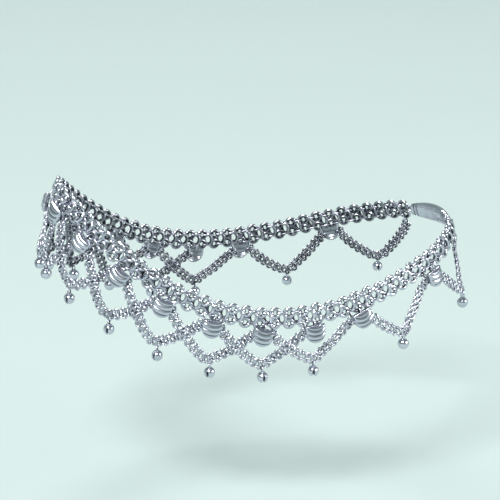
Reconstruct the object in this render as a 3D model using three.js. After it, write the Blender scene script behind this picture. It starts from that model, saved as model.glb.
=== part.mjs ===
// A payal: a silver ankle chain of two ring rows, with crossing chain festoons, small caps and bells.
// Millimetres, +Z up. The toes point to -X, the near side is -Y. The origin is the middle of the loop.
import * as THREE from "three";

// ---- The loop, as it lies round an ankle
const LOOP_HALF_LENGTH = 48; // toe to heel
const LOOP_HALF_WIDTH = 31;
// The band's height is a sum of cosine waves round the loop: a high front, a lower heel, sagging sides.
const HEIGHT_WAVES = [
  { wavesPerTurn: 1, height: 5.5 },
  { wavesPerTurn: 2, height: 9.0 },
  { wavesPerTurn: 3, height: 2.0 },
];
// How far the chains lean out from the vertical, over the instep, the ankle's sides and the heel.
const LEAN = { front: 14, side: 1, heel: 18, power: 2 }; // degrees

// ---- The band and the places along it
const BAND = { width: 5.3, thickness: 1.6, steps: 96 };
const PITCH = 11.3; // from one hanging place to the next
const CENTRE_PLACE = 5.5; // the middle place sits this far round from the front
const END_PLACE = 11; // the band ends at places -11 and 11

// ---- Festoons, each from the place before its own to the place after
const FESTOON = { width: 2.7, thickness: 1.1, sag: 0.07, cornerLeg: 2.4, armSteps: 7, cornerSteps: 4 };
const FESTOON_DEPTH = { front: 10.9, side: 7.3, heel: 9.5, power: 0.5 }; // from its top's middle to its tip
const FESTOON_PLUMB = 0.5; // 0 hangs square to the band, 1 straight down
const ARM_START = { below: 3.9, beside: 2.2 }; // from the band's middle, at each place
// Where festoons cross, the arm that falls towards the heel passes over the one that climbs.
const LAYER = { middle: 0.2, swing: 0.85, steepness: 1.8 };
const LONG_ROW = [-10, -8, -6, -4, -2, 0, 2, 4, 6, 8, 10]; // festoons all the way round
const SHORT_ROW = [-5, -3, -1, 1, 3, 5]; // more of them between, at the front only
const CAP_PLACES = [-9, -7, -6, -5, -4, -3, -2, -1, 0, 1, 2, 3, 4, 5, 6, 7, 9];

// ---- Caps, bells and clasp. A cap is a small shield that covers two festoons' meeting ends.
const CAP = { width: 4.6, height: 4.3, thickness: 1.5, below: 4.2, bevel: 0.5, arcSteps: 8 };
const BELL = { ballRadius: 1.3, neckRadius: 0.5, neckLength: 0.05, sides: 10, arcSteps: 3 };
const CLASP = { width: 4.4, thickness: 2.2, steps: 10, endTaper: 0.62 };
const GAP = 0.3; // between pieces that meet

// ---- How finely the curves are read
const LOOP_DIVISIONS = 1440;
const ANGLE_STEP = 1e-3; // to either side of an angle, for the direction there
const CORNER_SAMPLES = 24;

const UP = new THREE.Vector3(0, 0, 1);

// ---- Materials
const silver = new THREE.MeshStandardMaterial({ color: 0xc9ccd0, metalness: 1, roughness: 0.28 });
const brightSilver = new THREE.MeshStandardMaterial({ color: 0xdfe1e4, metalness: 1, roughness: 0.16 });
const darkSilver = new THREE.MeshStandardMaterial({ color: 0xa9acb1, metalness: 1, roughness: 0.36 });

// ---- The loop's curves. Angle 0 is the front; it grows towards the near side, -Y.
function bandHeight(angle) {
  return HEIGHT_WAVES.reduce((sum, wave) => sum + wave.height * Math.cos(wave.wavesPerTurn * angle), 0);
}

function planPoint(angle) {
  return new THREE.Vector3(
    -LOOP_HALF_LENGTH * Math.cos(angle),
    -LOOP_HALF_WIDTH * Math.sin(angle),
    0,
  );
}

class LoopCurve extends THREE.Curve {
  constructor(heightAt) {
    super();
    this.heightAt = heightAt;
    this.arcLengthDivisions = LOOP_DIVISIONS;
  }

  getPoint(turn, target = new THREE.Vector3()) {
    const angle = 2 * Math.PI * turn;
    return target.copy(planPoint(angle)).setZ(this.heightAt(angle));
  }

  // The angle at a signed distance from the front; both halves of the loop are alike.
  angleAt(distance) {
    return Math.sign(distance) * 2 * Math.PI * this.getUtoTmapping(0, Math.abs(distance));
  }

  // The signed distance from the front at an angle.
  distanceAt(angle) {
    const lengths = this.getLengths();
    const place = (Math.abs(angle) / (2 * Math.PI)) * this.arcLengthDivisions;
    const before = Math.floor(place);
    const after = Math.min(before + 1, this.arcLengthDivisions);
    return Math.sign(angle) * THREE.MathUtils.lerp(lengths[before], lengths[after], place - before);
  }
}

const bandLoop = new LoopCurve(bandHeight);
const planLoop = new LoopCurve(() => 0);

// ---- The sheet that the chains hang in: plan distance across, height up, lift outward
function outward(angle) {
  return new THREE.Vector3(
    -Math.cos(angle) / LOOP_HALF_LENGTH,
    -Math.sin(angle) / LOOP_HALF_WIDTH,
    0,
  ).normalize();
}

// A value that changes from the ankle's sides to the front and the heel of the loop.
function valueAt(angle, values) {
  const along = Math.cos(angle);
  const end = along > 0 ? values.front : values.heel;
  return THREE.MathUtils.lerp(values.side, end, Math.abs(along) ** values.power);
}

function leanAt(angle) {
  return THREE.MathUtils.degToRad(valueAt(angle, LEAN));
}

function angleOfPlace(place) {
  return bandLoop.angleAt(CENTRE_PLACE + place * PITCH);
}

function sheetPoint(across, height, lift) {
  const angle = planLoop.angleAt(across);
  const out = (bandHeight(angle) - height) * Math.tan(leanAt(angle)) + lift;
  return planPoint(angle).addScaledVector(outward(angle), out).setZ(height);
}

// The band's own directions at an angle: along it, out of its face, and down across it.
function bandFrame(angle) {
  const ahead = bandLoop.getPoint((angle + ANGLE_STEP) / (2 * Math.PI));
  const behind = bandLoop.getPoint((angle - ANGLE_STEP) / (2 * Math.PI));
  const along = ahead.sub(behind).normalize();
  const lean = leanAt(angle);
  const plumb = outward(angle).multiplyScalar(Math.sin(lean)).addScaledVector(UP, -Math.cos(lean));
  const face = along.clone().cross(plumb).normalize();
  const out = face.multiplyScalar(Math.sign(face.dot(outward(angle))));
  const down = out.clone().cross(along).normalize();
  return { along, out, down: down.multiplyScalar(Math.sign(down.dot(plumb))) };
}

// Where a place hangs in the sheet: below the band, square to it, and to one side.
function hangingPoint(place, below, beside) {
  const angle = angleOfPlace(place);
  const after = angle + ANGLE_STEP;
  const before = angle - ANGLE_STEP;
  const along = new THREE.Vector2(
    planLoop.distanceAt(after) - planLoop.distanceAt(before),
    bandHeight(after) - bandHeight(before),
  ).normalize();
  const down = new THREE.Vector2(along.y, -along.x);
  const start = new THREE.Vector2(planLoop.distanceAt(angle), bandHeight(angle));
  return start.addScaledVector(down, below).addScaledVector(along, beside);
}

// ---- Shapes
// A straight bar of box shape, each of whose points is moved by a function of its three coordinates.
function bentBar(length, width, thickness, steps, widthSteps, place) {
  const bar = new THREE.BoxGeometry(length, width, thickness, steps, widthSteps, 1);
  const points = bar.attributes.position;
  for (let i = 0; i < points.count; i += 1) {
    const moved = place(points.getX(i), points.getY(i), points.getZ(i));
    points.setXYZ(i, moved.x, moved.y, moved.z);
  }
  bar.computeVertexNormals();
  return bar;
}

// A bar along the loop between two distances, whose width and thickness may taper.
function loopBar(start, end, size, taperAt) {
  const middle = (start + end) / 2;
  return bentBar(end - start, size.width, size.thickness, size.steps, 1, (x, y, z) => {
    const distance = middle + x;
    const wrapped = distance > bandLoop.getLength() / 2 ? distance - bandLoop.getLength() : distance;
    const angle = bandLoop.angleAt(wrapped);
    const frame = bandFrame(angle);
    const scale = taperAt(x / (end - start));
    return bandLoop
      .getPoint(angle / (2 * Math.PI))
      .addScaledVector(frame.down, -y * scale)
      .addScaledVector(frame.out, z * scale);
  });
}

// The festoon's middle line in the sheet: two sagging arms and a rounded corner at the bottom.
function festoonPath(place) {
  const start = hangingPoint(place - 1, ARM_START.below, ARM_START.beside);
  const end = hangingPoint(place + 1, ARM_START.below, -ARM_START.beside);
  const chord = end.clone().sub(start);
  const square = new THREE.Vector2(chord.y, -chord.x).normalize();
  const down = square.lerp(new THREE.Vector2(0, -1), FESTOON_PLUMB).normalize();
  const depth = valueAt(angleOfPlace(place), FESTOON_DEPTH);
  const tip = start.clone().addScaledVector(chord, 0.5).addScaledVector(down, depth);
  const arm = (from, to) => {
    const span = Math.abs(to.x - from.x);
    const control = from.clone().lerp(to, 0.5);
    control.y -= 2 * FESTOON.sag * span;
    return new THREE.QuadraticBezierCurve(from, control, to);
  };
  const corner = (towards) => tip.clone().lerp(towards, FESTOON.cornerLeg / tip.distanceTo(towards));
  const falling = arm(start, corner(start));
  const rising = arm(corner(end), end);
  const path = new THREE.CurvePath();
  path.curves.push(falling, new THREE.QuadraticBezierCurve(falling.v2, tip, rising.v0), rising);
  return path;
}

// A festoon's chain: flat in the sheet, changing layer at its corner.
function festoonGeometry(path) {
  const length = path.getLength();
  const steps = 2 * FESTOON.armSteps + FESTOON.cornerSteps;
  return bentBar(length, FESTOON.width, FESTOON.thickness, steps, 1, (x, y, z) => {
    const share = THREE.MathUtils.clamp(x / length + 0.5, 0, 1);
    const edge = besidePath(path, share, y);
    return sheetPoint(edge.x, edge.y, layerAt(share) + z);
  });
}

function besidePath(path, share, offset) {
  const along = path.getTangentAt(share);
  return path.getPointAt(share).add(new THREE.Vector2(-along.y, along.x).multiplyScalar(offset));
}

// The lift at a share of a festoon's length: the same at its ends and its corner, most where it crosses.
function layerAt(share) {
  const wave = LAYER.steepness * Math.sin(2 * Math.PI * share);
  return LAYER.middle + LAYER.swing * THREE.MathUtils.clamp(wave, -1, 1);
}

// The lowest point on the outer edge of a festoon's rounded corner, where its bell hangs.
function lowestPoint(path) {
  const lengths = path.getCurveLengths();
  const first = lengths[0] / lengths[2];
  const last = lengths[1] / lengths[2];
  let lowest = null;
  for (let i = 0; i <= CORNER_SAMPLES; i += 1) {
    const share = THREE.MathUtils.lerp(first, last, i / CORNER_SAMPLES);
    const edge = besidePath(path, share, -FESTOON.width / 2);
    if (lowest === null || edge.y < lowest.y) {
      lowest = edge;
    }
  }
  return sheetPoint(lowest.x, lowest.y, LAYER.middle);
}

// A cap: a shield with a straight top and a round bottom, its back on the plane z = 0.
function capGeometry() {
  const side = CAP.width / 2 - CAP.bevel;
  const half = CAP.height / 2 - CAP.bevel;
  const outline = new THREE.Shape();
  outline.moveTo(side, half);
  outline.lineTo(-side, half);
  outline.lineTo(-side, side - half);
  outline.absarc(0, side - half, side, Math.PI, 2 * Math.PI, false);
  outline.closePath();
  const shield = new THREE.ExtrudeGeometry(outline, {
    depth: CAP.thickness - 2 * CAP.bevel,
    curveSegments: CAP.arcSteps,
    bevelThickness: CAP.bevel,
    bevelSize: CAP.bevel,
    bevelSegments: 1,
  });
  return shield.translate(0, 0, CAP.bevel);
}

// A bell: a ball under a short neck, with its top at the geometry's origin.
function bellGeometry() {
  const centre = -BELL.neckLength - BELL.ballRadius;
  const neckAngle = Math.asin(BELL.neckRadius / BELL.ballRadius);
  const profile = new THREE.Path();
  profile.moveTo(0, centre - BELL.ballRadius);
  profile.absarc(0, centre, BELL.ballRadius, -Math.PI / 2, Math.PI / 2 - neckAngle, false);
  profile.lineTo(BELL.neckRadius, 0);
  profile.lineTo(0, 0);
  return new THREE.LatheGeometry(profile.getPoints(BELL.arcSteps), BELL.sides).rotateX(Math.PI / 2);
}

// ---- Pieces
const payal = new THREE.Group();

function addPiece(name, geometry, material) {
  const piece = new THREE.Mesh(geometry, material);
  piece.name = name;
  payal.add(piece);
  return piece;
}

function numbered(name, index) {
  return `${name}_${String(index + 1).padStart(2, "0")}`;
}

// The band, from one end of the chain round the front to the other.
const bandStart = CENTRE_PLACE - END_PLACE * PITCH;
const bandEnd = CENTRE_PLACE + END_PLACE * PITCH;
addPiece("band", loopBar(bandStart, bandEnd, BAND, () => 1), silver);

// The clasp closes the loop behind the heel.
const claspEnd = bandLoop.getLength() + bandStart;
const claspTaper = (share) => 1 - (1 - CLASP.endTaper) * (2 * share) ** 2;
addPiece("clasp", loopBar(bandEnd + GAP, claspEnd - GAP, CLASP, claspTaper), brightSilver);

// Festoons with their bells.
const festoonPlaces = [...LONG_ROW, ...SHORT_ROW].sort((a, b) => a - b);
festoonPlaces.forEach((place, index) => {
  const path = festoonPath(place);
  addPiece(numbered("festoon", index), festoonGeometry(path), darkSilver);
  const bell = addPiece(numbered("bell", index), bellGeometry(), brightSilver);
  bell.position.copy(lowestPoint(path)).addScaledVector(UP, -GAP);
});

// Caps, each square under the band, in front of its lower edge and of the festoons' ends.
const capLift = LAYER.middle + FESTOON.thickness / 2 + GAP;
CAP_PLACES.forEach((place, index) => {
  const angle = angleOfPlace(place);
  const frame = bandFrame(angle);
  const cap = addPiece(numbered("cap", index), capGeometry(), brightSilver);
  const up = frame.down.clone().negate();
  const axes = new THREE.Matrix4().makeBasis(up.clone().cross(frame.out), up, frame.out);
  cap.quaternion.setFromRotationMatrix(axes);
  cap.position.copy(bandLoop.getPoint(angle / (2 * Math.PI)));
  cap.position.addScaledVector(frame.down, CAP.below).addScaledVector(frame.out, capLift);
});

export default payal;
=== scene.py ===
"""A silver payal: an ankle chain of linked rings with crossing festoons, ridged caps and slit bells."""

import logging
import math
from dataclasses import dataclass, field
from enum import Enum
from functools import cached_property
from typing import Callable

import bmesh
import bpy
import numpy as np
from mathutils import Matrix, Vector


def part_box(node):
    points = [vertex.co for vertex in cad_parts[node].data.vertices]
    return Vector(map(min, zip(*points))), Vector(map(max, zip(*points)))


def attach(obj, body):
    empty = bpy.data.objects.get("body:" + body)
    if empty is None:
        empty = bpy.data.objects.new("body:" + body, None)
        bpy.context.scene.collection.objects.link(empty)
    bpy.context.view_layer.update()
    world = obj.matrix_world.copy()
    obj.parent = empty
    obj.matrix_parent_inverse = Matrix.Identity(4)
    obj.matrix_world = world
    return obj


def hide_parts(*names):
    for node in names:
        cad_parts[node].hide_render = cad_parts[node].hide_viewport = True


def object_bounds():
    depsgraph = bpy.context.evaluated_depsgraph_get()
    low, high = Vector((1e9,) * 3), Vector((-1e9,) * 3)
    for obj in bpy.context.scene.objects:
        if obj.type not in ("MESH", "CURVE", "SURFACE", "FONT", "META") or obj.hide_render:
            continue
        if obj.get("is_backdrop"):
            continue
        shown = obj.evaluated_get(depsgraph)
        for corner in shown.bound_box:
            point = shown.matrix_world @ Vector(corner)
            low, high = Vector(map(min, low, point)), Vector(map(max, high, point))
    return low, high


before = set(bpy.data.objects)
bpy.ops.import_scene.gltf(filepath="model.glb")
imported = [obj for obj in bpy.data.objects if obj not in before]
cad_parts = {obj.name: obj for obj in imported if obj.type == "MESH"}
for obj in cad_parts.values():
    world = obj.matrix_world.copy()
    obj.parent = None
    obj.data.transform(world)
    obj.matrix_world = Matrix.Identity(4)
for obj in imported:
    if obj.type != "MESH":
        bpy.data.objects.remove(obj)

LOG = logging.getLogger("payal")
MM = 0.001
# The mesh attribute of painted shade: how much each point is darkened for shade in hollows, creases and on
# backs.
PAINTED_SHADE = "painted_shade"
BODY = "root"
WELD = 1e-7


class Slot(Enum):
    """The record's material slots."""

    BAND = "band_silver"
    CHAIN = "chain_silver"
    BELL = "bell_silver"
    POLISHED = "polished_silver"


# ---- The route, in millimetres


def unit(vectors: np.ndarray) -> np.ndarray:
    """Scales each row of an array of vectors to length one."""
    return vectors / np.linalg.norm(vectors, axis=-1, keepdims=True)


@dataclass(frozen=True)
class Place:
    """Places along a chain: their middles and their three directions, each an array of rows."""

    middle: np.ndarray
    along: np.ndarray
    up: np.ndarray
    out: np.ndarray


@dataclass(frozen=True)
class SideValue:
    """A value that changes from the ankle's sides to the front and the heel of the loop."""

    front: float
    side: float
    heel: float
    power: float

    def at(self, angle: np.ndarray) -> np.ndarray:
        """Mixes the values round the loop.

        Args:
            angle: Angles round the loop, in radians.

        Returns:
            The value at each angle.
        """
        along = np.cos(angle)
        end = np.where(along > 0.0, self.front, self.heel)
        return self.side + (end - self.side) * np.abs(along) ** self.power


@dataclass(frozen=True)
class AnkleLoop:
    """The band's way round the ankle. Angle 0 is the front and it grows towards -Y.

    The height is a sum of waves, each given as its count round the loop and its size.
    """

    half_length: float = 48.0
    half_width: float = 31.0
    height_waves: tuple[tuple[int, float], ...] = ((1, 5.5), (2, 9.0), (3, 2.0))
    lean: SideValue = SideValue(front=14.0, side=1.0, heel=18.0, power=2.0)
    samples: int = 4000
    step: float = 1e-3

    def height(self, angle: np.ndarray) -> np.ndarray:
        """Returns the height of the band's middle at some angles."""
        return sum(size * np.cos(waves * angle) for waves, size in self.height_waves)

    def plan(self, angle: np.ndarray) -> np.ndarray:
        """Finds points of the loop's plan.

        Args:
            angle: Angles round the loop.

        Returns:
            The points, at height 0.
        """
        x = -self.half_length * np.cos(angle)
        y = -self.half_width * np.sin(angle)
        return np.stack([x, y, np.zeros_like(x)], axis=-1)

    def point(self, angle: np.ndarray) -> np.ndarray:
        """Finds points of the band's middle line.

        Args:
            angle: Angles round the loop.

        Returns:
            The points, one a row.
        """
        points = self.plan(angle)
        points[..., 2] = self.height(angle)
        return points

    @cached_property
    def _half_turn(self) -> np.ndarray:
        """Angles from the front to the back of the loop."""
        return np.linspace(0.0, math.pi, self.samples + 1)

    @cached_property
    def _plan_lengths(self) -> np.ndarray:
        """Distances from the front along the plan at the half turn's angles."""
        steps = np.linalg.norm(np.diff(self.plan(self._half_turn), axis=0), axis=1)
        return np.concatenate([[0.0], np.cumsum(steps)])

    @cached_property
    def _band_lengths(self) -> np.ndarray:
        """Distances from the front along the band at the half turn's angles."""
        steps = np.linalg.norm(np.diff(self.point(self._half_turn), axis=0), axis=1)
        return np.concatenate([[0.0], np.cumsum(steps)])

    @property
    def length(self) -> float:
        """The whole loop's length."""
        return 2.0 * float(self._band_lengths[-1])

    def angle_along_band(self, distance: np.ndarray) -> np.ndarray:
        """Returns the angles at signed distances from the front along the band.

        Args:
            distance: Distances, which may run on past the back of the loop.

        Returns:
            The angles, in radians.
        """
        half = self.length / 2.0
        wrapped = (np.asarray(distance) + half) % self.length - half
        return np.sign(wrapped) * np.interp(np.abs(wrapped), self._band_lengths, self._half_turn)

    def angle_along_plan(self, distance: np.ndarray) -> np.ndarray:
        """Returns the angles at signed distances from the front along the plan."""
        return np.sign(distance) * np.interp(np.abs(distance), self._plan_lengths, self._half_turn)

    def plan_distance(self, angle: np.ndarray) -> np.ndarray:
        """Returns the signed distances from the front along the plan at some angles."""
        return np.sign(angle) * np.interp(np.abs(angle), self._half_turn, self._plan_lengths)

    def outward(self, angle: np.ndarray) -> np.ndarray:
        """Finds the level directions that point away from the ankle.

        Args:
            angle: Angles round the loop.

        Returns:
            Directions of length one, one a row.
        """
        x = -np.cos(angle) / self.half_length
        y = -np.sin(angle) / self.half_width
        return unit(np.stack([x, y, np.zeros_like(x)], axis=-1))

    def sheet_point(self, across: np.ndarray, height: np.ndarray, lift: np.ndarray) -> np.ndarray:
        """Returns points of the sheet that the festoons hang in.

        Args:
            across: Distances along the plan.
            height: Heights above the loop's middle.
            lift: Distances out from the sheet.

        Returns:
            The points, one a row.
        """
        angle = self.angle_along_plan(across)
        out = (self.height(angle) - height) * np.tan(np.radians(self.lean.at(angle))) + lift
        points = self.plan(angle) + self.outward(angle) * out[..., None]
        points[..., 2] = height
        return points

    def band_place(self, distance: np.ndarray) -> Place:
        """Finds places along the band, which leans out from the plumb line.

        Args:
            distance: Signed distances from the front along the band.

        Returns:
            The places.
        """
        angle = self.angle_along_band(distance)
        along = unit(self.point(angle + self.step) - self.point(angle - self.step))
        lean = np.radians(self.lean.at(angle))[..., None]
        plumb = self.outward(angle) * np.sin(lean) - np.array([0.0, 0.0, 1.0]) * np.cos(lean)
        out = unit(np.cross(plumb, along))
        out *= np.sign(np.sum(out * self.outward(angle), axis=-1, keepdims=True))
        up = unit(np.cross(out, along))
        up *= -np.sign(np.sum(up * plumb, axis=-1, keepdims=True))
        return Place(self.point(angle), along, up, out)


@dataclass(frozen=True)
class Layout:
    """Where everything hangs along the band, counted in places of one pitch.

    A festoon hangs from the places at its two sides. Its depth is how far its corner hangs below them, and
    plumb is the share of that which falls straight down and not square to the band. Its arms sag by a
    share of their width, and its corner rounds off over two legs. It lies above and below a middle layer
    in turn, so that it passes over one neighbour and under the other.
    """

    loop: AnkleLoop = AnkleLoop()
    pitch: float = 11.3
    centre: float = 5.5
    end_place: int = 11
    depth: SideValue = SideValue(front=10.9, side=7.3, heel=9.5, power=0.5)
    plumb: float = 0.5
    arm_below: float = 3.9
    arm_beside: float = 2.2
    sag: float = 0.07
    corner_leg: float = 2.4
    layer_middle: float = 0.2
    layer_swing: float = 0.85
    layer_steepness: float = 1.8
    long_row: tuple[int, ...] = tuple(range(-10, 11, 2))
    short_row: tuple[int, ...] = tuple(range(-5, 6, 2))
    cap_places: tuple[int, ...] = (-9, *range(-7, 8), 9)
    cap_below: float = 4.2
    cap_lift: float = 1.05

    @property
    def festoon_places(self) -> list[int]:
        """The festoons' places in order along the band."""
        return sorted(self.long_row + self.short_row)

    @property
    def band_start(self) -> float:
        """The distance of the band's first end."""
        return self.centre - self.end_place * self.pitch

    @property
    def band_end(self) -> float:
        """The distance of the band's last end."""
        return self.centre + self.end_place * self.pitch

    def hanging_point(self, place: int, beside: float) -> np.ndarray:
        """Returns where a festoon's arm starts in the sheet.

        Args:
            place: The place that it hangs from.
            beside: How far to the side of the place.

        Returns:
            The distance across and the height.
        """
        loop = self.loop
        angle = loop.angle_along_band(np.float64(self.centre + place * self.pitch))
        before, after = angle - loop.step, angle + loop.step
        run = loop.plan_distance(after) - loop.plan_distance(before)
        rise = loop.height(after) - loop.height(before)
        along = unit(np.array([run, rise]))
        down = np.array([along[1], -along[0]])
        start = np.array([loop.plan_distance(angle), loop.height(angle)])
        return start + down * self.arm_below + along * beside


@dataclass(frozen=True)
class FestoonRoute:
    """One festoon's middle line: two sagging arms that meet at a rounded corner."""

    layout: Layout
    place: int
    samples: int = 60
    flat_step: float = 0.05
    sheet_step: float = 0.1

    @staticmethod
    def _bend(start: np.ndarray, control: np.ndarray, end: np.ndarray, samples: int) -> np.ndarray:
        """Returns points of a quadratic curve, without its last one."""
        t = np.linspace(0.0, 1.0, samples, endpoint=False)[:, None]
        return start * (1 - t) ** 2 + control * 2 * t * (1 - t) + end * t**2

    def _arm(self, start: np.ndarray, end: np.ndarray) -> np.ndarray:
        """Draws an arm that sags below the straight line.

        Args:
            start: Where it starts in the sheet.
            end: Where it ends.

        Returns:
            Its points, without the last one.
        """
        control = (start + end) / 2.0
        control[1] -= 2.0 * self.layout.sag * abs(end[0] - start[0])
        return self._bend(start, control, end, self.samples)

    @cached_property
    def points(self) -> np.ndarray:
        """The line's points in the sheet, across and up."""
        lay = self.layout
        start = lay.hanging_point(self.place - 1, lay.arm_beside)
        end = lay.hanging_point(self.place + 1, -lay.arm_beside)
        square = unit(np.array([end[1] - start[1], start[0] - end[0]]))
        down = unit(square * (1.0 - lay.plumb) + np.array([0.0, -1.0]) * lay.plumb)
        angle = lay.loop.angle_along_band(np.float64(lay.centre + self.place * lay.pitch))
        tip = (start + end) / 2.0 + down * lay.depth.at(angle)
        left = tip + unit(start - tip) * lay.corner_leg
        right = tip + unit(end - tip) * lay.corner_leg
        corner = self._bend(left, tip, right, self.samples)
        return np.concatenate([self._arm(start, left), corner, self._arm(right, end), end[None]])

    @cached_property
    def _lengths(self) -> np.ndarray:
        """Distances along the line at its points."""
        steps = np.linalg.norm(np.diff(self.points, axis=0), axis=1)
        return np.concatenate([[0.0], np.cumsum(steps)])

    @property
    def length(self) -> float:
        """The line's length."""
        return float(self._lengths[-1])

    def _at(self, distance: np.ndarray) -> np.ndarray:
        """Finds points of the line, which runs straight on past its ends.

        Args:
            distance: Distances from the line's start.

        Returns:
            The points in the sheet.
        """
        clipped = np.clip(distance, 0.0, self.length)
        across = np.interp(clipped, self._lengths, self.points[:, 0])
        inside = np.stack([across, np.interp(clipped, self._lengths, self.points[:, 1])], axis=-1)
        first = unit(self.points[1] - self.points[0])
        last = unit(self.points[-1] - self.points[-2])
        before = np.minimum(distance, 0.0)[..., None] * first
        after = np.maximum(distance - self.length, 0.0)[..., None] * last
        return inside + before + after

    def lift(self, distance: np.ndarray) -> np.ndarray:
        """Returns how far out the chain lies, over its neighbour or under it."""
        lay = self.layout
        wave = lay.layer_steepness * np.sin(2.0 * math.pi * distance / self.length)
        return lay.layer_middle + lay.layer_swing * np.clip(wave, -1.0, 1.0)

    def surface(self, distance: np.ndarray, beside: np.ndarray) -> np.ndarray:
        """Finds points of the flat chain.

        Args:
            distance: Distances along the chain.
            beside: Distances beside its middle line.

        Returns:
            The points, one a row.
        """
        along = unit(self._at(distance + self.flat_step) - self._at(distance - self.flat_step))
        across = np.stack([-along[..., 1], along[..., 0]], axis=-1)
        flat = self._at(distance) + across * np.asarray(beside)[..., None]
        return self.layout.loop.sheet_point(flat[..., 0], flat[..., 1], self.lift(distance))

    def chain_place(self, distance: np.ndarray) -> Place:
        """Finds places along the chain.

        Args:
            distance: Distances from its start.

        Returns:
            The places.
        """
        step = self.sheet_step
        nothing = np.zeros_like(distance)
        along = unit(self.surface(distance + step, nothing) - self.surface(distance - step, nothing))
        across = self.surface(distance, nothing + step) - self.surface(distance, nothing - step)
        up = unit(across - along * np.sum(across * along, axis=-1, keepdims=True))
        out = np.cross(along, up)
        return Place(self.surface(distance, nothing), along, up, out)


# ---- Meshes


@dataclass
class MeshMaker:
    """Gathers parts of one mesh, each with a painted shade value at every point."""

    points: list[np.ndarray] = field(default_factory=list)
    faces: list[np.ndarray] = field(default_factory=list)
    painted_shade: list[np.ndarray] = field(default_factory=list)
    count: int = 0

    def add(self, points: np.ndarray, faces: np.ndarray, painted_shade: np.ndarray) -> None:
        """Adds a part.

        Args:
            points: The part's points, in millimetres.
            faces: Rows of four point numbers.
            painted_shade: How much painted shade each point takes, from 0 to 1, more the deeper it lies in
                a hollow.
        """
        self.points.append(points)
        self.faces.append(faces + self.count)
        self.painted_shade.append(painted_shade)
        self.count += len(points)

    @staticmethod
    def _weld(mesh: bpy.types.Mesh) -> None:
        """Makes one point of points that coincide, which closes the ends of lofted surfaces.

        Args:
            mesh: The mesh that is changed.
        """
        work = bmesh.new()
        work.from_mesh(mesh)
        bmesh.ops.remove_doubles(work, verts=work.verts, dist=WELD)
        work.to_mesh(mesh)
        work.free()

    def build(self, name: str) -> bpy.types.Object:
        """Joins the gathered parts.

        Args:
            name: The object's name.

        Returns:
            A smooth object, which is in the scene.
        """
        points = np.concatenate(self.points) * MM
        faces = np.concatenate(self.faces)
        mesh = bpy.data.meshes.new(name)
        mesh.vertices.add(len(points))
        mesh.vertices.foreach_set("co", points.ravel())
        corners = faces.shape[1]
        mesh.loops.add(faces.size)
        mesh.loops.foreach_set("vertex_index", faces.ravel())
        mesh.polygons.add(len(faces))
        mesh.polygons.foreach_set("loop_start", np.arange(len(faces)) * corners)
        mesh.polygons.foreach_set("loop_total", np.full(len(faces), corners))
        mesh.attributes.new(PAINTED_SHADE, "FLOAT", "POINT").data.foreach_set(
            "value", np.concatenate(self.painted_shade).astype(np.float32)
        )
        mesh.update(calc_edges=True)
        self._weld(mesh)
        mesh.validate()
        mesh.shade_smooth()
        piece = bpy.data.objects.new(name, mesh)
        bpy.context.scene.collection.objects.link(piece)
        return piece


def closed_grid(rows: int, columns: int) -> np.ndarray:
    """Numbers the faces of a grid that closes on itself both ways.

    Args:
        rows: How many rows of points it has.
        columns: How many points each row has.

    Returns:
        The faces, as rows of four point numbers.
    """
    row, column = np.meshgrid(np.arange(rows), np.arange(columns), indexing="ij")
    next_row, next_column = (row + 1) % rows, (column + 1) % columns
    corners = (row * columns + column, next_row * columns + column)
    corners += (next_row * columns + next_column, row * columns + next_column)
    return np.stack([c.ravel() for c in corners], axis=-1)


def lofted(rows: np.ndarray, painted_shade: np.ndarray) -> tuple[np.ndarray, np.ndarray, np.ndarray]:
    """Joins closed outlines into a surface. The first and last outline are points where it closes.

    Args:
        rows: Outlines of equal length, as an array of outline, point and coordinate.
        painted_shade: A painted shade value for each of those points.

    Returns:
        Points, faces and painted shade values.
    """
    count, columns = rows.shape[:2]
    faces = closed_grid(count, columns)[: (count - 1) * columns]
    return rows.reshape(-1, 3), faces[:, ::-1], painted_shade.ravel()


@dataclass(frozen=True)
class Ring:
    """An oval ring of round wire that faces out, before it is put in its place.

    The wire takes painted shade from a base value, more towards the ring's middle and less towards its
    front.
    """

    half_length: float
    half_height: float
    wire: float
    around: int
    sides: int
    shade: float = 0.3
    shade_inside: float = 1.3
    shade_front: float = 0.6

    @cached_property
    def shape(self) -> tuple[np.ndarray, np.ndarray, np.ndarray]:
        """The ring's points, faces and painted shade values."""
        turn = np.linspace(0, 2 * math.pi, self.around, endpoint=False)[:, None]
        side = np.linspace(0, 2 * math.pi, self.sides, endpoint=False)[None, :]
        cos, sin = np.cos(turn), np.sin(turn)
        scale = np.hypot(self.half_height * cos, self.half_length * sin)
        reach = self.wire * np.cos(side)
        x = self.half_length * cos + reach * self.half_height * cos / scale
        y = self.half_height * sin + reach * self.half_length * sin / scale
        z = self.wire * np.sin(side) + 0 * turn
        # Painted shade: darker on the wire's inner side, towards the ring's hole, and lighter on its
        # front.
        shade = self.shade - self.shade_inside * np.cos(side) - self.shade_front * np.sin(side)
        painted_shade = np.clip(shade, 0.0, 1.0) + 0 * turn
        points = np.stack([x, y, z], axis=-1).reshape(-1, 3)
        return points, closed_grid(self.around, self.sides), painted_shade.ravel()


@dataclass(frozen=True)
class RingRow:
    """How one row of a chain's rings stands in it."""

    ring: Ring
    offset: float = 0.0
    turn: float = 0.0
    tip: float = 0.0


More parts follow.
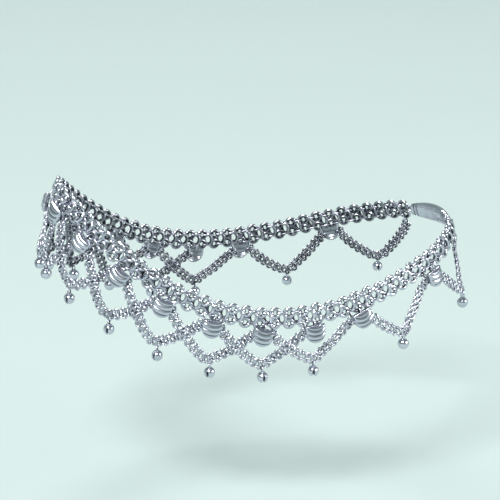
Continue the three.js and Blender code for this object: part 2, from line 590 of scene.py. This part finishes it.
@dataclass(frozen=True)
class LinkWeave:
    """A flat chain: rows of rings in the middle of each cell, and rows that join them between cells."""

    pitch: float
    rows: tuple[RingRow, ...]
    joining_rows: tuple[RingRow, ...]
    shade_depth: float
    jitter_degrees: float = 5.0
    jitter: float = 0.02
    most_shade: float = 0.5
    fewest_cells: int = 2

    def weave(
        self, maker: MeshMaker, route: Callable[[np.ndarray], Place], start: float, end: float, seed: int
    ) -> None:
        """Adds the rings of one length of chain.

        Args:
            maker: The mesh that takes the rings.
            route: A function from distances to places.
            start: Where the chain starts.
            end: Where it ends.
            seed: The seed of the rings' small tilts.
        """
        cells = max(self.fewest_cells, round((end - start) / self.pitch))
        pitch = (end - start) / cells
        chance = np.random.default_rng(seed)
        columns = route(start + (np.arange(cells) + 0.5) * pitch)
        between = route(start + np.arange(1, cells) * pitch)
        for row in self.rows:
            self._place_row(maker, columns, row, chance)
        for row in self.joining_rows:
            self._place_row(maker, between, row, chance)

    def _place_row(
        self, maker: MeshMaker, place: Place, row: RingRow, chance: np.random.Generator
    ) -> None:
        """Adds one row of rings.

        Args:
            maker: The mesh that takes the rings.
            place: The row's places.
            row: The ring that is repeated, and how it stands.
            chance: The source of the rings' small tilts.
        """
        points, faces, painted_shade = row.ring.shape
        count = len(place.middle)
        tilts = chance.normal(0.0, self.jitter_degrees, (count, 2)) + [row.turn, row.tip]
        shifts = chance.normal(0.0, self.jitter * self.pitch, (count, 2)) + [row.offset, 0.0]
        for k, middle in enumerate(place.middle):
            turn, tip = np.radians(tilts[k])
            along = place.along[k] * math.cos(turn) + place.out[k] * math.sin(turn)
            face = place.out[k] * math.cos(turn) - place.along[k] * math.sin(turn)
            up = place.up[k] * math.cos(tip) + face * math.sin(tip)
            centre = middle + place.up[k] * shifts[k, 0] + place.out[k] * shifts[k, 1]
            turned = points @ np.stack([along, up, np.cross(along, up)])
            # Painted shade on the rings' backs, darker the farther behind the chain's middle they lie.
            back_shade = np.clip(-(turned @ place.out[k]) / self.shade_depth, 0.0, self.most_shade)
            maker.add(centre + turned, faces, np.maximum(painted_shade, back_shade))


# ---- Finishes


def new_group(
    name: str, inputs: dict[str, tuple[str, object]], outputs: dict[str, str]
) -> bpy.types.NodeTree:
    """Returns an empty shader node group with named sockets.

    Args:
        name: The group's name.
        inputs: Each input's socket type and starting value.
        outputs: Each output's socket type.

    Returns:
        The group.
    """
    group = bpy.data.node_groups.new(name, "ShaderNodeTree")
    for label, (kind, value) in inputs.items():
        socket = group.interface.new_socket(label, in_out="INPUT", socket_type=kind)
        socket.default_value = value
    for label, kind in outputs.items():
        group.interface.new_socket(label, in_out="OUTPUT", socket_type=kind)
    return group


@dataclass(frozen=True)
class Grain:
    """One kind of noise: its waves per metre, its detail, and its scales along the three axes."""

    scale: float
    detail: float
    stretch: tuple[float, float, float] = (1.0, 1.0, 1.0)


@dataclass
class Wiring:
    """Short calls that add and join the nodes of one tree."""

    tree: bpy.types.NodeTree

    def node(self, kind: str, **settings: object) -> bpy.types.Node:
        """Adds a node.

        Args:
            kind: The node's type.
            **settings: Its properties and their values.

        Returns:
            The node.
        """
        made = self.tree.nodes.new(kind)
        for label, value in settings.items():
            setattr(made, label, value)
        return made

    def join(self, output: bpy.types.NodeSocket, socket: bpy.types.NodeSocket) -> None:
        """Links an output to an input."""
        self.tree.links.new(output, socket)

    def math(
        self, operation: str, first: object, second: object, clamp: bool = False
    ) -> bpy.types.NodeSocket:
        """Adds a math node.

        Args:
            operation: The node's operation.
            first: A socket or a number.
            second: A socket or a number.
            clamp: Whether the result is kept between 0 and 1.

        Returns:
            The node's output.
        """
        made = self.node("ShaderNodeMath", operation=operation, use_clamp=clamp)
        for socket, value in zip(made.inputs, (first, second)):
            if isinstance(value, bpy.types.NodeSocket):
                self.join(value, socket)
            else:
                socket.default_value = value
        return made.outputs[0]

    def noise(self, vector: bpy.types.NodeSocket, grain: Grain) -> bpy.types.NodeSocket:
        """Adds noise that may be stretched.

        Args:
            vector: Where the noise is read.
            grain: Its scale, detail and stretch.

        Returns:
            The noise, from 0 to 1.
        """
        mapping = self.node("ShaderNodeMapping")
        mapping.inputs["Scale"].default_value = grain.stretch
        noise = self.node("ShaderNodeTexNoise")
        noise.inputs["Scale"].default_value = grain.scale
        noise.inputs["Detail"].default_value = grain.detail
        self.join(vector, mapping.inputs["Vector"])
        self.join(mapping.outputs[0], noise.inputs["Vector"])
        return noise.outputs["Fac"]

    def blend(self, share: bpy.types.NodeSocket, low: object, high: object) -> bpy.types.NodeSocket:
        """Mixes two colours.

        Args:
            share: How much of the second colour there is, from 0 to 1.
            low: The first colour, as a socket or a colour.
            high: The second colour.

        Returns:
            The mixed colour.
        """
        mix = self.node("ShaderNodeMix", data_type="RGBA")
        self.join(share, mix.inputs["Factor"])
        for label, value in (("A", low), ("B", high)):
            socket = next(s for s in mix.inputs if s.name == label and s.type == "RGBA")
            if isinstance(value, bpy.types.NodeSocket):
                self.join(value, socket)
            else:
                socket.default_value = value
        return next(s for s in mix.outputs if s.type == "RGBA")


@dataclass(frozen=True)
class WornAndShadedSilver:
    """The surface that all the silver shares.

    Polished metal darkens with painted shade in hollows and on backs, read from the painted_shade
    attribute, with cloudy handling marks and fine scratches.
    """

    cloud: Grain = Grain(260.0, 3.0)
    speckle: Grain = Grain(2600.0, 2.0)
    scratch: Grain = Grain(2200.0, 1.0, (0.15, 1.0, 1.4))
    deep_base: float = 0.65
    deep_speckle: float = 0.7
    smudge_start: float = 0.45
    smudge_strength: float = 0.8
    scratch_wear: float = 0.35
    scratch_height: float = 0.6
    speckle_height: float = 0.4

    def group(self) -> bpy.types.NodeTree:
        """Builds the surface as a node group, which puts out a colour, a roughness and a height."""
        inputs = {
            "Polished": ("NodeSocketColor", (0.9, 0.91, 0.92, 1.0)),
            "Shade And Smudge Colour": ("NodeSocketColor", (0.1, 0.1, 0.11, 1.0)),
            "Shade And Smudge Amount": ("NodeSocketFloat", 0.8),
            "Smooth": ("NodeSocketFloat", 0.14),
            "Rough": ("NodeSocketFloat", 0.4),
        }
        outputs = {"Color": "NodeSocketColor", "Roughness": "NodeSocketFloat", "Height": "NodeSocketFloat"}
        group = new_group("worn_and_shaded_silver", inputs, outputs)
        wire = Wiring(group)
        given = wire.node("NodeGroupInput").outputs
        result = wire.node("NodeGroupOutput").inputs
        place = wire.node("ShaderNodeTexCoord").outputs["Object"]
        painted_shade = wire.node("ShaderNodeAttribute", attribute_name=PAINTED_SHADE).outputs["Fac"]
        cloud = wire.noise(place, self.cloud)
        speckle = wire.noise(place, self.speckle)
        scratch = wire.noise(place, self.scratch)

        # Painted shade: the painted_shade attribute, made uneven by speckle, darkens the colour towards
        # the shade colour; the cloud noise adds real handling smudges.
        uneven = wire.math("ADD", self.deep_base, wire.math("MULTIPLY", speckle, self.deep_speckle))
        deep = wire.math("MULTIPLY", painted_shade, uneven)
        marks = wire.math("SUBTRACT", cloud, self.smudge_start, clamp=True)
        smudge = wire.math("MULTIPLY", marks, self.smudge_strength)
        dark = wire.math("MULTIPLY", wire.math("ADD", deep, smudge), given["Shade And Smudge Amount"], clamp=True)
        wire.join(wire.blend(dark, given["Polished"], given["Shade And Smudge Colour"]), result["Color"])

        spread = wire.math("SUBTRACT", given["Rough"], given["Smooth"])
        wear_and_shade = wire.math("ADD", dark, wire.math("MULTIPLY", scratch, self.scratch_wear), clamp=True)
        roughness = wire.math("ADD", given["Smooth"], wire.math("MULTIPLY", spread, wear_and_shade))
        wire.join(roughness, result["Roughness"])
        grooves = wire.math("MULTIPLY", scratch, self.scratch_height)
        height = wire.math("ADD", grooves, wire.math("MULTIPLY", speckle, self.speckle_height))
        wire.join(height, result["Height"])
        return group


@dataclass(frozen=True)
class SilverFinish:
    """One kind of silver: how bright it is, how dark the painted shade in its hollows is, and how smooth
    it is.
    """

    name: str
    polished: tuple[float, float, float] = (0.62, 0.625, 0.71)
    # The colour that painted shade and handling smudges darken the silver to.
    shade_and_smudge_colour: tuple[float, float, float] = (0.03, 0.034, 0.045)
    shade_and_smudge_amount: float = 0.95
    smooth: float = 0.13
    rough: float = 0.4
    bump: float = 0.12
    bump_distance: float = 0.00005

    def material(self, surface: bpy.types.NodeTree) -> bpy.types.Material:
        """Builds the finish as a material.

        Args:
            surface: The node group of worn silver with painted shade.

        Returns:
            The material.
        """
        made = bpy.data.materials.new(self.name)
        made.use_nodes = True
        wire = Wiring(made.node_tree)
        shader = made.node_tree.nodes["Principled BSDF"]
        shader.inputs["Metallic"].default_value = 1.0
        wear_and_shade = wire.node("ShaderNodeGroup")
        wear_and_shade.node_tree = surface
        wear_and_shade.inputs["Polished"].default_value = (*self.polished, 1.0)
        wear_and_shade.inputs["Shade And Smudge Colour"].default_value = (*self.shade_and_smudge_colour, 1.0)
        wear_and_shade.inputs["Shade And Smudge Amount"].default_value = self.shade_and_smudge_amount
        wear_and_shade.inputs["Smooth"].default_value = self.smooth
        wear_and_shade.inputs["Rough"].default_value = self.rough
        wire.join(wear_and_shade.outputs["Color"], shader.inputs["Base Color"])
        wire.join(wear_and_shade.outputs["Roughness"], shader.inputs["Roughness"])
        bump = wire.node("ShaderNodeBump")
        bump.inputs["Strength"].default_value = self.bump
        bump.inputs["Distance"].default_value = self.bump_distance
        wire.join(wear_and_shade.outputs["Height"], bump.inputs["Height"])
        wire.join(bump.outputs["Normal"], shader.inputs["Normal"])
        return made


@dataclass(frozen=True)
class StudioFinish:
    """The matt paper that the studio's floor and wall are made of."""

    name: str = "studio_paper"
    colour: tuple[float, float, float] = (0.372, 0.442, 0.426)
    mottle: Grain = Grain(6.0, 3.0)
    mottle_darkness: float = 0.97
    roughness: float = 0.85

    def material(self) -> bpy.types.Material:
        """Builds the paper as a material with a faint mottle.

        Returns:
            The material.
        """
        made = bpy.data.materials.new(self.name)
        made.use_nodes = True
        wire = Wiring(made.node_tree)
        shader = made.node_tree.nodes["Principled BSDF"]
        shader.inputs["Roughness"].default_value = self.roughness
        mottle = wire.noise(wire.node("ShaderNodeTexCoord").outputs["Object"], self.mottle)
        darker = tuple(self.mottle_darkness * c for c in self.colour)
        wire.join(wire.blend(mottle, (*self.colour, 1.0), (*darker, 1.0)), shader.inputs["Base Color"])
        return made


# ---- Pieces


@dataclass
class Piece:
    """What every piece of the payal does once its mesh is made."""

    layout: Layout

    def dress(self, made: bpy.types.Object, finish: bpy.types.Material, node: str, slot: Slot) -> None:
        """Gives a piece its finish and its place in the frame.

        Args:
            made: The piece.
            finish: Its material.
            node: The CAD node that it stands for.
            slot: The record's slot that its finish comes from; not used.
        """
        made.data.materials.append(finish)
        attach(made, BODY)
        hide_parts(node)
        LOG.info("%s: %d faces", made.name, len(made.data.polygons))


@dataclass
class Band(Piece):
    """The ankle chain itself: two rows of rings that face out, linked along and across the chain."""

    weave: LinkWeave = LinkWeave(
        pitch=3.36,
        shade_depth=1.1,
        rows=(
            RingRow(Ring(1.03, 0.92, 0.46, around=28, sides=12), offset=1.27),
            RingRow(Ring(1.03, 0.92, 0.46, around=28, sides=12), offset=-1.27),
        ),
        joining_rows=(
            RingRow(Ring(0.98, 1.25, 0.4, around=24, sides=11), turn=40.0),
            RingRow(Ring(1.25, 0.52, 0.27, around=20, sides=8), offset=1.3, tip=90.0),
            RingRow(Ring(1.25, 0.52, 0.27, around=20, sides=8), offset=-1.3, tip=90.0),
        ),
    )
    seed: int = 11

    def build(self, finish: bpy.types.Material) -> None:
        """Builds the band's rings from one end of the chain to the other.

        Args:
            finish: The rings' material.
        """
        maker = MeshMaker()
        lay = self.layout
        self.weave.weave(maker, lay.loop.band_place, lay.band_start, lay.band_end, self.seed)
        self.dress(maker.build("band_rings"), finish, "band", Slot.BAND)


@dataclass
class Festoons(Piece):
    """The fine flat chains that hang in crossing swags."""

    weave: LinkWeave = LinkWeave(
        pitch=1.62,
        shade_depth=0.55,
        rows=(
            RingRow(Ring(0.5, 0.46, 0.26, around=16, sides=8), offset=0.67),
            RingRow(Ring(0.5, 0.46, 0.26, around=16, sides=8), offset=-0.67),
        ),
        joining_rows=(
            RingRow(Ring(0.5, 0.62, 0.23, around=16, sides=8), turn=40.0),
            RingRow(Ring(0.64, 0.28, 0.18, around=14, sides=6), offset=0.7, tip=90.0),
            RingRow(Ring(0.64, 0.28, 0.18, around=14, sides=6), offset=-0.7, tip=90.0),
        ),
    )
    first_seed: int = 100
    tuck: float = 0.9
    hanger_below: float = 1.7
    hanger_slack: float = 0.3
    hanger_width: float = 0.42
    hanger_wire: float = 0.18

    def _hang(self, maker: MeshMaker, top: Place, end: np.ndarray) -> None:
        """Adds the long jump ring that joins one end of a festoon to the band's lower rings.

        Args:
            maker: The mesh that takes the ring.
            top: The band's place above.
            end: The middle of the chain's last rings.
        """
        above = top.middle[0] - top.up[0] * self.hanger_below
        half = float(np.linalg.norm(above - end)) / 2 + self.hanger_slack
        ring = Ring(half, self.hanger_width, self.hanger_wire, around=26, sides=10)
        points, faces, painted_shade = ring.shape
        along = unit(above - end)
        side = unit(np.cross(along, top.out[0]))
        axes = np.stack([along, np.cross(side, along), side])
        maker.add((above + end) / 2 + points @ axes, faces, painted_shade)

    def build(self, finish: bpy.types.Material) -> None:
        """Builds every festoon and the jump rings at its ends, which the caps lie over.

        Args:
            finish: The chains' material.
        """
        lay = self.layout
        for index, place in enumerate(lay.festoon_places, start=1):
            route = FestoonRoute(lay, place)
            maker = MeshMaker()
            length = route.length
            seed = self.first_seed + index
            self.weave.weave(maker, route.chain_place, -self.tuck, length + self.tuck, seed)
            for side, last in ((-1, -self.tuck / 2), (1, length + self.tuck / 2)):
                above = lay.centre + (place + side) * lay.pitch - side * lay.arm_beside
                end = route.chain_place(np.array([last])).middle[0]
                self._hang(maker, lay.loop.band_place(np.array([above])), end)
            node = f"festoon_{index:02d}"
            self.dress(maker.build(f"{node}_links"), finish, node, Slot.CHAIN)


@dataclass
class Caps(Piece):
    """The small domed shields on the band's lower edge, each crossed by stacked rounded ridges.

    The ridges are arcs about a centre above the shield, and they fade out towards its rim. The back is a
    hollow that follows the same ridges.
    """

    width: float = 4.6
    height: float = 4.3
    thickness: float = 1.5
    edge: float = 0.5
    insets: int = 36
    top_inset: float = 0.5
    top_points: int = 16
    side_points: int = 12
    arc_points: int = 40
    ridge_pitch: float = 1.15
    ridge_centre: float = 4.6
    ridge_depth: float = 0.24
    rim: float = 0.16
    hollow_rim: float = 0.32
    hollow_depth: float = 0.8
    hollow_insets: int = 14
    back_painted_shade: float = 0.3
    loop_ring: Ring = Ring(0.8, 0.42, 0.17, around=24, sides=9)
    loop_below: float = 2.15
    loop_lift: float = 0.75
    roll_degrees: float = 5.0
    seed: int = 5

    def _outline(self, inset: float) -> np.ndarray:
        """Returns the shield's outline a distance in from its edge.

        Args:
            inset: The distance in.

        Returns:
            Points from the left top corner round the bottom and back along the top.
        """
        half = self.width / 2 - inset
        top = self.height / 2 - inset * self.top_inset
        middle = self.width / 2 - self.height / 2
        fall = np.linspace(top, middle, self.side_points, endpoint=False)
        turn = np.linspace(math.pi, 2 * math.pi, self.arc_points)
        across = np.linspace(half, -half, self.top_points + 2)[1:-1]
        left = np.stack([0 * fall - half, fall], axis=-1)
        bottom = np.stack([half * np.cos(turn), half * np.sin(turn) + middle], axis=-1)
        right = left[::-1] * [-1, 1]
        return np.concatenate([left, bottom, right, np.stack([across, 0 * across + top], axis=-1)])

    def _layer(self, inset: float, share: float, low: float, high: float) -> tuple[np.ndarray, np.ndarray]:
        """Draws one outline of the domed and ridged face, or of the hollow behind it.

        Args:
            inset: The outline's distance in from the shield's edge.
            share: How far it is from the dome's foot, at 0, to its top, at 1.
            low: The dome's height at its foot.
            high: Its height at the top.

        Returns:
            The outline's points, and how deep between two ridges each is, from 0 to 1.
        """
        points = self._outline(inset)
        dome = low + (high - low) * math.sqrt(1.0 - (1.0 - share) ** 2)
        away = np.hypot(points[:, 0], points[:, 1] - self.ridge_centre)
        waves = (away + self.height / 2 - self.ridge_centre) / self.ridge_pitch
        valley = (1.0 - np.abs(np.sin(math.pi * waves))) * min(1.0, share / self.rim)
        return np.column_stack([points, dome - self.ridge_depth * valley]), valley

    @cached_property
    def shape(self) -> tuple[np.ndarray, np.ndarray, np.ndarray]:
        """The shield's points, faces and painted shade values, with the rim of its hollow back at z = 0.
        """
        rows, painted_shade = [], []
        inner = self.width / 2 - self.hollow_rim
        for share in np.linspace(1.0, 0.0, self.hollow_insets):
            inset = self.hollow_rim + share * inner
            points, valley = self._layer(inset, share, 0.0, self.hollow_depth)
            rows.append(points)
            # Painted shade in the hollow back: a base value, more towards its deep middle and less on the
            # ridges.
            painted_shade.append(self.back_painted_shade + (1.0 - self.back_painted_shade) * share * (1.0 - valley) / 2)
        outline = self._outline(0.0)
        rows.append(np.column_stack([outline, np.zeros(len(outline))]))
        painted_shade.append(np.full(len(outline), self.back_painted_shade))
        for share in np.linspace(0.0, 1.0, self.insets):
            points, valley = self._layer(share * self.width / 2, share, self.edge, self.thickness)
            rows.append(points)
            # Painted shade in the valleys between the ridges.
            painted_shade.append(valley**2)
        return lofted(np.stack(rows), np.stack(painted_shade))

    def build(self, finish: bpy.types.Material) -> None:
        """Builds every cap in its place, rolled a little about the small loop that it hangs from.

        Args:
            finish: The caps' material.
        """
        lay = self.layout
        distances = lay.centre + np.array(lay.cap_places) * lay.pitch
        place = lay.loop.band_place(distances)
        points, faces, painted_shade = self.shape
        loop_points, loop_faces, loop_painted_shade = self.loop_ring.shape
        chance = np.random.default_rng(self.seed)
        rolls = np.radians(chance.normal(0.0, self.roll_degrees, len(distances)))
        for k, middle in enumerate(place.middle):
            out = place.out[k]
            side = np.cross(place.up[k], out)
            up = place.up[k] * math.cos(rolls[k]) + side * math.sin(rolls[k])
            axes = np.stack([np.cross(up, out), up, out])
            hanger = middle - place.up[k] * self.loop_below
            centre = hanger - up * (lay.cap_below - self.loop_below) + out * lay.cap_lift
            loop_centre = hanger + out * self.loop_lift
            maker = MeshMaker()
            maker.add(centre + points @ axes, faces, painted_shade)
            maker.add(loop_centre + loop_points @ axes[[1, 2, 0]], loop_faces, loop_painted_shade)
            node = f"cap_{k + 1:02d}"
            self.dress(maker.build(f"{node}_shield"), finish, node, Slot.POLISHED)


@dataclass
class Bells(Piece):
    """The small slit bells under the festoons, each on its jump ring.

    The points crowd towards the slit. Its width is the unit for how far its wall and its lips reach.
    """

    radius: float = 1.3
    length: float = 2.65
    neck: float = 0.42
    rows: int = 40
    around: int = 64
    crowding: float = 0.7
    crown_edge: float = 0.06
    slit_width: float = 0.2
    slit_depth: float = 0.5
    slit_top: float = 0.75
    slit_fade: float = 0.25
    slit_reach: float = 1.6
    lip: float = 0.05
    lip_reach: float = 1.9
    lip_spread: float = 0.5
    jump_ring: Ring = Ring(0.46, 0.6, 0.15, around=22, sides=8)
    ring_rise: float = 0.3
    spin_degrees: float = 28.0
    seed: int = 6

    @cached_property
    def shape(self) -> tuple[np.ndarray, np.ndarray, np.ndarray]:
        """The bell's points, faces and painted shade values, with its top at the origin and its slit along
        y.
        """
        centre = self.radius - self.length
        polar = np.linspace(0.0, math.pi, self.rows)
        height = centre + self.radius * np.cos(polar)
        radius = self.radius * np.sin(polar)
        crown = int(np.argmax(radius > self.neck))
        height = np.concatenate([[0.0, 0.0, -self.crown_edge], height[crown:]])
        radius = np.concatenate([[0.0, self.neck - self.crown_edge, self.neck], radius[crown:]])
        turn = np.linspace(0, 2 * math.pi, self.around, endpoint=False)
        turn = turn + self.crowding * np.sin(2 * turn) / 2
        x = radius[:, None] * np.cos(turn)
        y = radius[:, None] * np.sin(turn)
        z = height[:, None] + 0 * x
        away = np.abs(x) / self.slit_width
        below = np.clip((centre + self.slit_top - z) / self.slit_fade, 0.0, 1.0) * (radius[:, None] > 0)
        share = np.where(z < centre, 1.0, below)
        slit = np.clip(self.slit_reach - away, 0.0, 1.0) * share
        lip = np.exp(-(((away - self.lip_reach) / self.lip_spread) ** 2)) * share
        scale = 1.0 - (self.slit_depth * slit - self.lip * lip) / self.radius
        points = np.stack([x, y * scale, centre + (z - centre) * scale], axis=-1)
        # The slit mask is also the painted shade: the slit is darkened for shade.
        return lofted(points[:, ::-1], slit[:, ::-1])

    def build(self, finish: bpy.types.Material) -> None:
        """Builds every bell under its festoon, turned a little on the ring that it hangs from.

        Args:
            finish: The bells' material.
        """
        points, faces, painted_shade = self.shape
        ring_points, ring_faces, ring_painted_shade = self.jump_ring.shape
        loop = self.layout.loop
        upright = np.array([0.0, 0.0, 1.0])
        chance = np.random.default_rng(self.seed)
        for index in range(1, len(self.layout.festoon_places) + 1):
            node = f"bell_{index:02d}"
            low, high = (np.array(corner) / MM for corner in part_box(node))
            top = np.array([(low[0] + high[0]) / 2, (low[1] + high[1]) / 2, high[2]])
            level = loop.outward(math.atan2(-top[1] / loop.half_width, -top[0] / loop.half_length))
            spin = math.radians(chance.normal(0.0, self.spin_degrees))
            facing = level * math.cos(spin) + np.cross(upright, level) * math.sin(spin)
            turned = np.stack([np.cross(facing, upright), facing, upright])
            maker = MeshMaker()
            maker.add(top + points @ turned, faces, painted_shade)
            axes = np.stack([np.cross(level, upright), level, upright])
            centre = top + upright * self.ring_rise
            maker.add(centre + ring_points @ axes[[1, 2, 0]], ring_faces, ring_painted_shade)
            self.dress(maker.build(f"{node}_slit"), finish, node, Slot.BELL)


@dataclass
class Clasp(Piece):
    """The plain clasp that closes the loop behind the heel."""

    width: float = 4.4
    thickness: float = 2.2
    end_taper: float = 0.62
    end_sharpness: float = 30.0
    gap: float = 0.3
    rows: int = 60
    around: int = 40
    roundness: float = 3.2
    grooves: tuple[float, ...] = (0.1, 0.16, 0.84, 0.9)
    groove_width: float = 0.012
    groove_depth: float = 0.12
    end_ring: Ring = Ring(0.95, 0.95, 0.27, around=28, sides=12)

    def _profile(self) -> tuple[np.ndarray, np.ndarray]:
        """Draws the cross-section, a rounded box of size one.

        Returns:
            The distances of its points across and out.
        """
        turn = np.linspace(0, 2 * math.pi, self.around, endpoint=False)
        cos, sin = np.cos(turn), np.sin(turn)
        power = 2.0 / self.roundness
        return np.sign(cos) * abs(cos) ** power / 2, np.sign(sin) * abs(sin) ** power / 2

    def build(self, finish: bpy.types.Material) -> None:
        """Builds the clasp between the band's two ends.

        Args:
            finish: The clasp's material.
        """
        loop = self.layout.loop
        start = self.layout.band_end + self.gap
        end = loop.length + self.layout.band_start - self.gap
        share = np.linspace(0.0, 1.0, self.rows)
        place = loop.band_place(start + share * (end - start))
        taper = 1 - (1 - self.end_taper) * (2 * share - 1) ** 2
        closing = np.sqrt(np.clip(1 - (np.abs(2 * share - 1) ** self.end_sharpness), 0.0, 1.0))
        dips = sum(np.exp(-(((share - g) / self.groove_width) ** 2)) for g in self.grooves)
        across, out = self._profile()
        wide = (self.width * taper - self.groove_depth * 2 * dips) * closing
        thick = (self.thickness * taper - self.groove_depth * 2 * dips) * closing
        rows = place.middle[:, None, :] + place.up[:, None, :] * (wide[:, None] * across)[..., None]
        rows = rows + place.out[:, None, :] * (thick[:, None] * out)[..., None]
        # Painted shade in the grooves.
        groove_shade = np.repeat(np.clip(dips, 0, 1)[:, None], self.around, axis=1)
        maker = MeshMaker()
        maker.add(*lofted(rows, groove_shade))
        points, faces, painted_shade = self.end_ring.shape
        ends = loop.band_place(np.array([start - self.gap, end + self.gap]))
        for k, middle in enumerate(ends.middle):
            axes = np.stack([ends.along[k], ends.out[k], -ends.up[k]])
            maker.add(middle + points @ axes, faces, painted_shade)
        self.dress(maker.build("clasp_barrel"), finish, "clasp", Slot.POLISHED)


# ---- Studio


@dataclass(frozen=True)
class Light:
    """One soft square light: its place from the object's middle, its side in metres and its watts."""

    name: str
    place: tuple[float, float, float]
    size: float
    power: float


@dataclass
class Studio:
    """The pale floor with its round wall, the soft lights and the camera, in metres and degrees."""

    azimuth: float = -16.0
    elevation: float = 18.0
    distance: float = 0.52
    fill: float = 0.86
    drop: float = 0.036
    floor_radius: float = 1.6
    wall_bend: float = 0.5
    wall_height: float = 2.2
    bend_rows: int = 20
    around: int = 96
    flat_share: float = 0.99
    sensor: float = 36.0
    clip_start: float = 0.01
    lamps: tuple[Light, ...] = (
        Light("key_light", (-0.8, -0.95, 1.4), size=0.58, power=46.0),
        Light("fill_light", (1.3, -0.7, 0.6), size=0.58, power=13.5),
        Light("top_light", (0.1, 0.85, 1.75), size=0.72, power=25.0),
    )
    air_colour: tuple[float, float, float] = (0.8, 0.9, 1.0)
    air_strength: float = 0.3

    def camera(self, low: Vector, high: Vector) -> None:
        """Sets up the camera.

        Args:
            low: The object's lowest corner.
            high: Its highest corner.
        """
        target = (low + high) / 2
        turn, rise = math.radians(self.azimuth), math.radians(self.elevation)
        back = Vector((math.sin(turn) * math.cos(rise), -math.cos(turn) * math.cos(rise), math.sin(rise)))
        data = bpy.data.cameras.new("studio_camera")
        made = bpy.data.objects.new("studio_camera", data)
        made.location = target + back * self.distance
        made.rotation_euler = back.to_track_quat("Z", "Y").to_euler()
        data.sensor_width = self.sensor
        data.lens = self.sensor * self.distance / ((high.x - low.x) / self.fill)
        data.clip_start = self.clip_start
        bpy.context.scene.collection.objects.link(made)
        bpy.context.scene.camera = made

    def backdrop(self, floor: float, finish: bpy.types.Material) -> None:
        """Lays a round floor and bends it up into a wall all round.

        Args:
            floor: The floor's height.
            finish: Its material.
        """
        bend = np.linspace(0.0, math.pi / 2, self.bend_rows)
        radius = self.floor_radius + self.wall_bend * np.sin(bend)
        height = floor + self.wall_bend * (1 - np.cos(bend))
        radius = np.concatenate([[0.0, self.flat_share * self.floor_radius], radius, [radius[-1]]])
        height = np.concatenate([[floor, floor], height, [floor + self.wall_height]])
        turn = np.linspace(2 * math.pi, 0, self.around, endpoint=False)
        x, y = radius[:, None] * np.cos(turn), radius[:, None] * np.sin(turn)
        rows = np.stack([x, y, height[:, None] + 0 * turn], axis=-1)
        maker = MeshMaker()
        maker.add(*lofted(rows / MM, np.zeros_like(x)))
        made = maker.build("studio_floor")
        made.data.materials.append(finish)
        made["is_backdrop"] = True

    def _light(self, lamp: Light, aim: Vector) -> None:
        """Adds a soft square light.

        Args:
            lamp: The light's place, size and power.
            aim: What it points at.
        """
        data = bpy.data.lights.new(lamp.name, "AREA")
        data.shape = "SQUARE"
        data.size = lamp.size
        data.energy = lamp.power
        made = bpy.data.objects.new(lamp.name, data)
        place = aim + Vector(lamp.place)
        made.location = place
        made.rotation_euler = (place - aim).to_track_quat("Z", "Y").to_euler()
        bpy.context.scene.collection.objects.link(made)

    def lights(self, aim: Vector) -> None:
        """Adds the studio's lights and its dim surroundings.

        Args:
            aim: What the lights point at.
        """
        for lamp in self.lamps:
            self._light(lamp, aim)
        world = bpy.data.worlds.new("studio_air")
        world.use_nodes = True
        air = world.node_tree.nodes["Background"].inputs
        air["Color"].default_value = (*self.air_colour, 1.0)
        air["Strength"].default_value = self.air_strength
        bpy.context.scene.world = world
        bpy.context.scene.view_settings.view_transform = "Standard"


def main() -> None:
    """Builds the studio and then the payal's pieces in order."""
    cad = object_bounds()
    low, high = Vector(cad[0]), Vector(cad[1])
    studio = Studio()
    studio.camera(low, high)
    studio.backdrop(low.z - studio.drop, StudioFinish().material())
    studio.lights((low + high) / 2)

    surface = WornAndShadedSilver().group()
    band_silver = SilverFinish("band_silver").material(surface)
    chain_silver = SilverFinish("chain_silver", rough=0.46).material(surface)
    bell_silver = SilverFinish("bell_silver", smooth=0.1, rough=0.5).material(surface)
    polished_silver = SilverFinish("polished_silver", smooth=0.12, rough=0.45).material(surface)

    layout = Layout()
    Band(layout).build(band_silver)
    Festoons(layout).build(chain_silver)
    Caps(layout).build(polished_silver)
    Bells(layout).build(bell_silver)
    Clasp(layout).build(polished_silver)


if __name__ == "__main__":
    logging.basicConfig(level=logging.INFO, format="%(name)s: %(message)s")
    main()
